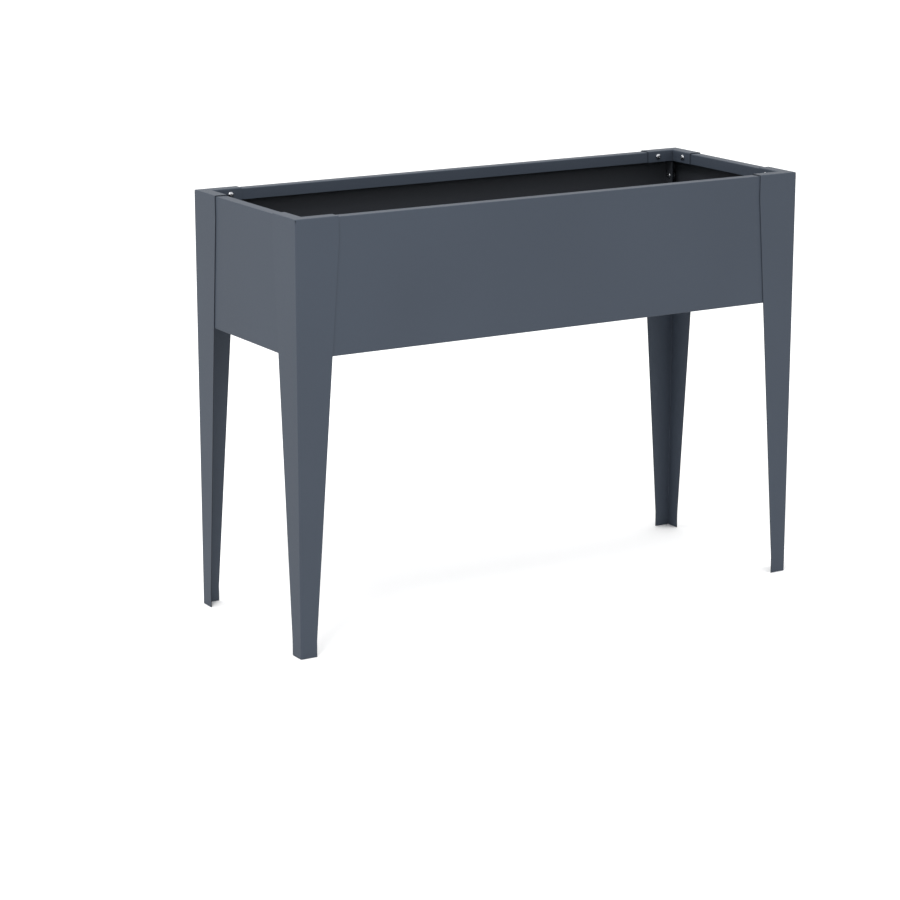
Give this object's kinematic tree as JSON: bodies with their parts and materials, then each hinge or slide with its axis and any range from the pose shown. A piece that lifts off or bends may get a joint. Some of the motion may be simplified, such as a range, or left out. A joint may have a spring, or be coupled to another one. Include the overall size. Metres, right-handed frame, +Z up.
{
  "type": "raised planter",
  "caption": "Raised steel planter: a long rectangular trough with turned-in rims, carried on tapered folded corner legs.",
  "frame": {"origin": "on the floor, under the middle of the planter", "axes": "+X along the planter's length to the right as seen from the front, +Y to the rear, +Z up; the front is at -Y"},
  "size_m": [1.09, 0.4, 0.8],
  "materials": {
    "leg_coat": "anthracite grey powder coat, satin with a very fine grain, on folded steel legs",
    "panel_coat": "anthracite grey powder coat, satin with a very fine grain, on the folded trough panels",
    "base_coat": "anthracite grey powder coat, matt, on the trough's base plates",
    "zinc_plate": "bright zinc-plated steel screws and flange nuts"
  },
  "bodies": {
    "root": {"front_left_joint_lower_nut": "zinc_plate", "front_left_joint_lower_screw": "zinc_plate", "front_left_joint_upper_nut": "zinc_plate", "front_left_joint_upper_screw": "zinc_plate", "front_left_leg": "leg_coat", "front_left_rim_end_nut": "zinc_plate", "front_left_rim_end_screw": "zinc_plate", "front_left_rim_long_nut": "zinc_plate", "front_left_rim_long_screw": "zinc_plate", "front_left_stud_nut_end": "zinc_plate", "front_left_stud_nut_long": "zinc_plate", "front_panel": "panel_coat", "front_rib_nut": "zinc_plate", "front_rib_screw": "zinc_plate", "front_right_joint_lower_nut": "zinc_plate", "front_right_joint_lower_screw": "zinc_plate", "front_right_joint_upper_nut": "zinc_plate", "front_right_joint_upper_screw": "zinc_plate", "front_right_leg": "leg_coat", "front_right_rim_end_nut": "zinc_plate", "front_right_rim_end_screw": "zinc_plate", "front_right_rim_long_nut": "zinc_plate", "front_right_rim_long_screw": "zinc_plate", "front_right_stud_nut_end": "zinc_plate", "front_right_stud_nut_long": "zinc_plate", "left_base_plate": "base_coat", "left_end_panel": "panel_coat", "middle_rib_nut": "zinc_plate", "middle_rib_screw": "zinc_plate", "rear_left_joint_lower_nut": "zinc_plate", "rear_left_joint_lower_screw": "zinc_plate", "rear_left_joint_upper_nut": "zinc_plate", "rear_left_joint_upper_screw": "zinc_plate", "rear_left_leg": "leg_coat", "rear_left_rim_end_nut": "zinc_plate", "rear_left_rim_end_screw": "zinc_plate", "rear_left_rim_long_nut": "zinc_plate", "rear_left_rim_long_screw": "zinc_plate", "rear_left_stud_nut_end": "zinc_plate", "rear_left_stud_nut_long": "zinc_plate", "rear_panel": "panel_coat", "rear_rib_nut": "zinc_plate", "rear_rib_screw": "zinc_plate", "rear_right_joint_lower_nut": "zinc_plate", "rear_right_joint_lower_screw": "zinc_plate", "rear_right_joint_upper_nut": "zinc_plate", "rear_right_joint_upper_screw": "zinc_plate", "rear_right_leg": "leg_coat", "rear_right_rim_end_nut": "zinc_plate", "rear_right_rim_end_screw": "zinc_plate", "rear_right_rim_long_nut": "zinc_plate", "rear_right_rim_long_screw": "zinc_plate", "rear_right_stud_nut_end": "zinc_plate", "rear_right_stud_nut_long": "zinc_plate", "right_base_plate": "base_coat", "right_end_panel": "panel_coat"}
  },
  "joints": []
}
